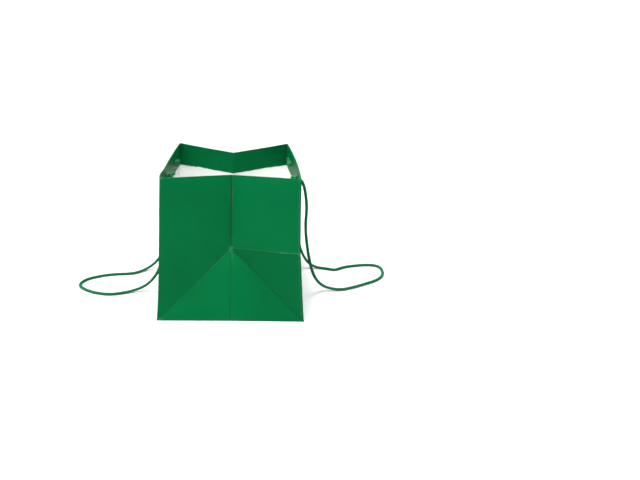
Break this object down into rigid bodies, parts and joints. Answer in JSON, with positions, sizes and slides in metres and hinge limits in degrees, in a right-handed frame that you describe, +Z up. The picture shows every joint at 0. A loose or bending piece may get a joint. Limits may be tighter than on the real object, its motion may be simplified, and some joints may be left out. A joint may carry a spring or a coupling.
{
  "type": "paper carrier bag",
  "caption": "Square-bottom coated-paper carrier bag with folding side gussets, turned-in hem and knotted rope handles that lie beside it.",
  "frame": {"origin": "on the floor, under the centre of the base", "axes": "+Z up; +X towards the right rope face; +Y towards the back gusset; the gusset at -Y faces the camera"},
  "size_m": [0.4931, 0.24, 0.2],
  "materials": {
    "green_sheet": "semi-gloss coated paper, green outside and white inside",
    "turned_hem": "semi-gloss coated paper, green side showing",
    "bottom_flaps": "semi-gloss coated paper",
    "hem_board": "plain grey board",
    "base_board": "white-faced board",
    "rope": "twisted soft rope"
  },
  "bodies": {
    "base": {"bottom_outer_flap": "bottom_flaps", "bottom_inner_flap": "bottom_flaps", "bottom_end_flap_front": "bottom_flaps", "bottom_end_flap_back": "bottom_flaps", "base_board": "base_board"},
    "left_wall": {"left_face": "green_sheet", "left_hem_board": "hem_board", "left_hem": "turned_hem", "side_seam_tab": "green_sheet", "left_front_knot": "rope", "left_back_knot": "rope"},
    "right_wall": {"right_face_lower": "green_sheet", "right_face_upper": "green_sheet", "right_hem_board": "hem_board", "right_hem": "turned_hem", "right_front_knot": "rope", "right_back_knot": "rope"},
    "left_handle": {"left_handle_rope": "rope"},
    "right_handle": {"right_handle_rope": "rope"},
    "front_foot_panel": {"front_left_foot": "green_sheet", "front_right_foot": "green_sheet"},
    "front_left_lower_panel": {"front_left_gusset_lower": "green_sheet"},
    "front_left_upper_panel": {"front_left_gusset_upper": "green_sheet", "front_left_gusset_hem": "turned_hem"},
    "front_right_lower_panel": {"front_right_gusset_lower": "green_sheet"},
    "front_right_upper_panel": {"front_right_gusset_upper": "green_sheet", "front_right_gusset_hem": "turned_hem"},
    "back_foot_panel": {"back_left_foot": "green_sheet", "back_right_foot": "green_sheet"},
    "back_left_lower_panel": {"back_left_gusset_lower": "green_sheet"},
    "back_left_upper_panel": {"back_left_gusset_upper": "green_sheet", "back_left_gusset_hem": "turned_hem"},
    "back_right_lower_panel": {"back_right_gusset_lower": "green_sheet"},
    "back_right_upper_panel": {"back_right_gusset_upper": "green_sheet", "back_right_gusset_hem": "turned_hem"}
  },
  "joints": [
    {"name": "left_wall_lean", "type": "hinge", "parent": "base", "child": "left_wall", "pos_m": [-0.1, 0, 0.00025], "axis": [0, 1, 0], "range_deg": [0, 4.2]},
    {"name": "right_wall_lean", "type": "hinge", "parent": "base", "child": "right_wall", "pos_m": [0.1, 0, 0.00025], "axis": [0, -1, 0], "range_deg": [0, 4.5]},
    {"name": "front_foot_lean", "type": "hinge", "parent": "base", "child": "front_foot_panel", "pos_m": [0, -0.12, 0.00025], "axis": [-1, 0, 0], "range_deg": [0, 10.15]},
    {"name": "front_left_corner_fold", "type": "hinge", "parent": "left_wall", "child": "front_left_lower_panel", "pos_m": [-0.1, -0.12, 0.00025], "axis": [0.0539, 0, 0.9985], "range_deg": [0, 10.19]},
    {"name": "front_left_bend", "type": "hinge", "parent": "front_left_lower_panel", "child": "front_left_upper_panel", "pos_m": [-0.08921, -0.12, 0.19996], "axis": [-0.6308, -0.2262, 0.7422], "range_deg": [0, 6.79]},
    {"name": "front_right_corner_fold", "type": "hinge", "parent": "right_wall", "child": "front_right_lower_panel", "pos_m": [0.1, -0.12, 0.00025], "axis": [0.0539, 0, -0.9985], "range_deg": [0, 10.19]},
    {"name": "front_right_bend", "type": "hinge", "parent": "front_right_lower_panel", "child": "front_right_upper_panel", "pos_m": [0.08921, -0.12, 0.19996], "axis": [-0.6308, 0.2262, -0.7422], "range_deg": [0, 6.79]},
    {"name": "back_foot_lean", "type": "hinge", "parent": "base", "child": "back_foot_panel", "pos_m": [0, 0.12, 0.00025], "axis": [1, 0, 0], "range_deg": [0, 10.15]},
    {"name": "back_left_corner_fold", "type": "hinge", "parent": "left_wall", "child": "back_left_lower_panel", "pos_m": [-0.1, 0.12, 0.00025], "axis": [-0.0539, 0, -0.9985], "range_deg": [0, 10.19]},
    {"name": "back_left_bend", "type": "hinge", "parent": "back_left_lower_panel", "child": "back_left_upper_panel", "pos_m": [-0.08921, 0.12, 0.19996], "axis": [0.6308, -0.2262, -0.7422], "range_deg": [0, 6.79]},
    {"name": "back_right_corner_fold", "type": "hinge", "parent": "right_wall", "child": "back_right_lower_panel", "pos_m": [0.1, 0.12, 0.00025], "axis": [-0.0539, 0, 0.9985], "range_deg": [0, 10.19]},
    {"name": "back_right_bend", "type": "hinge", "parent": "back_right_lower_panel", "child": "back_right_upper_panel", "pos_m": [0.08921, 0.12, 0.19996], "axis": [0.6308, 0.2262, 0.7422], "range_deg": [0, 6.79]},
    {"name": "left_handle_swing", "type": "hinge", "parent": "left_wall", "child": "left_handle", "pos_m": [-0.09858, 0, 0.18099], "axis": [0, 1, 0], "range_deg": [0, 150]},
    {"name": "right_handle_swing", "type": "hinge", "parent": "right_wall", "child": "right_handle", "pos_m": [0.09858, 0, 0.18099], "axis": [0, -1, 0], "range_deg": [0, 150]}
  ],
  "couplings": [
    {"joint": "right_wall_lean", "follows": "left_wall_lean", "ratio": 1},
    {"joint": "front_foot_lean", "follows": "left_wall_lean", "ratio": 2.3451},
    {"joint": "front_left_corner_fold", "follows": "left_wall_lean", "ratio": 2.3542},
    {"joint": "front_left_bend", "follows": "left_wall_lean", "ratio": 1.5457},
    {"joint": "front_right_corner_fold", "follows": "left_wall_lean", "ratio": 2.3542},
    {"joint": "front_right_bend", "follows": "left_wall_lean", "ratio": 1.5457},
    {"joint": "back_foot_lean", "follows": "left_wall_lean", "ratio": 2.3451},
    {"joint": "back_left_corner_fold", "follows": "left_wall_lean", "ratio": 2.3542},
    {"joint": "back_left_bend", "follows": "left_wall_lean", "ratio": 1.5457},
    {"joint": "back_right_corner_fold", "follows": "left_wall_lean", "ratio": 2.3542},
    {"joint": "back_right_bend", "follows": "left_wall_lean", "ratio": 1.5457}
  ]
}
